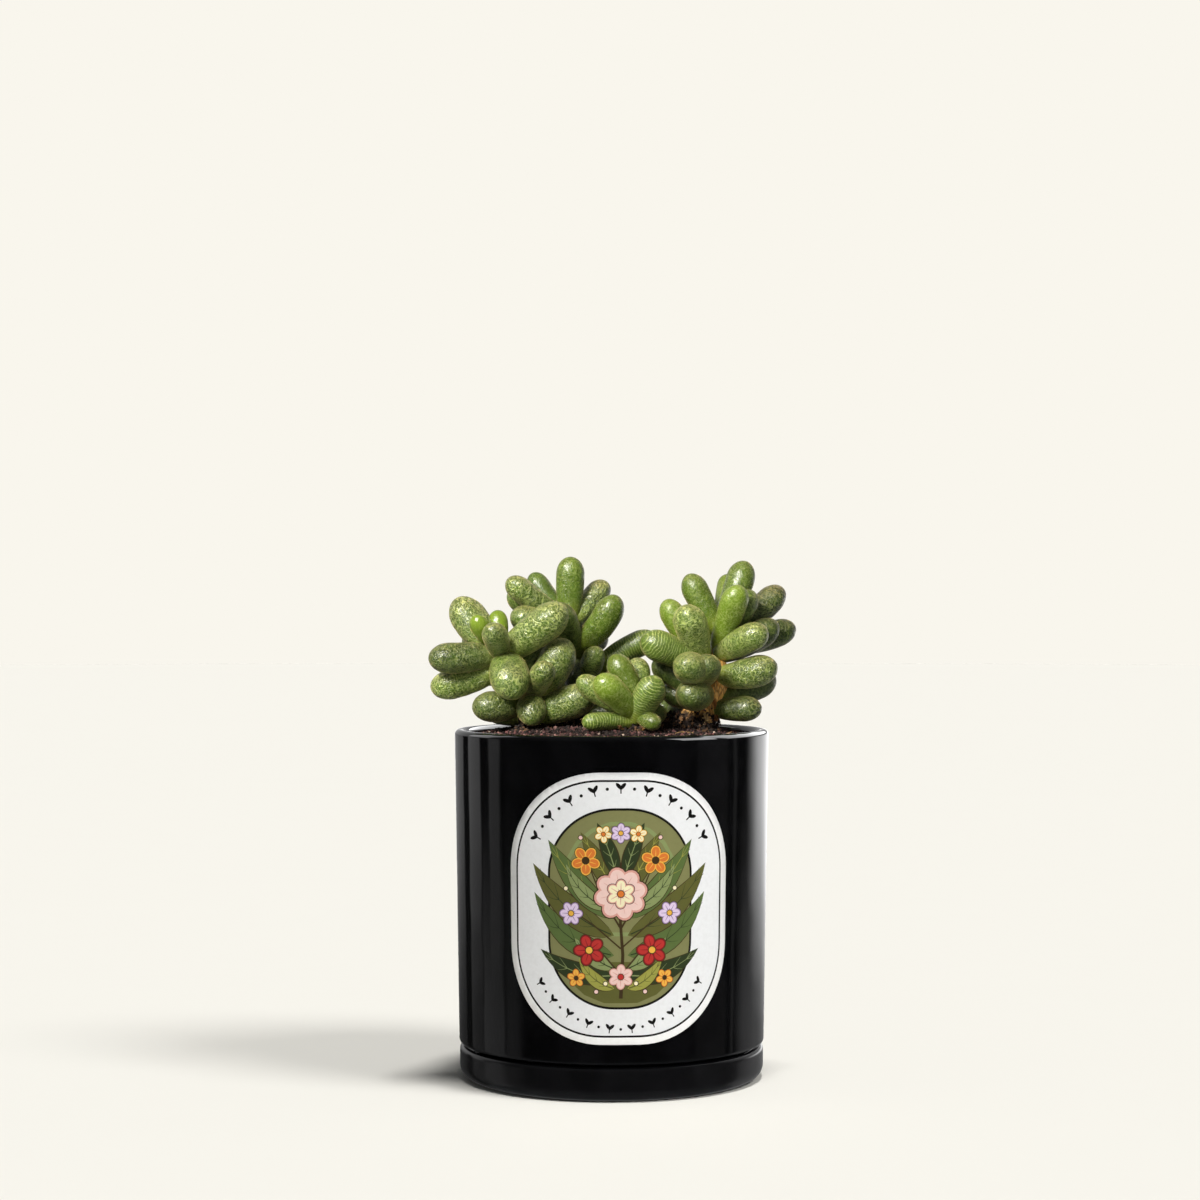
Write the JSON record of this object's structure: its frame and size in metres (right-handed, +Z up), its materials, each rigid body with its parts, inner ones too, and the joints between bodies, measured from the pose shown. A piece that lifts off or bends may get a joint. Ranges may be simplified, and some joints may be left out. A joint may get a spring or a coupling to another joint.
{
  "type": "potted sedum succulent",
  "caption": "Sedum with plump bean-shaped leaves on short stems, in a tall black glazed pot with a rounded front label and a shallow saucer.",
  "frame": {"origin": "middle of the saucer's flat underside, on the axis of pot and saucer", "axes": "+Z up along the pot's axis, -Y towards the label's side, +X to the right as the label is faced"},
  "size_m": [0.1166, 0.1003, 0.1655],
  "materials": {
    "glaze": "gloss",
    "label": "satin",
    "soil": "matte",
    "leaf": "satin"
  },
  "bodies": {
    "root": {"saucer": "glaze", "pot": "glaze", "label": "label", "soil": "soil", "stem_left_front": "leaf", "stem_left_back": "leaf", "stem_front": "leaf", "stem_right": "leaf", "stem_back": "leaf"}
  },
  "joints": []
}
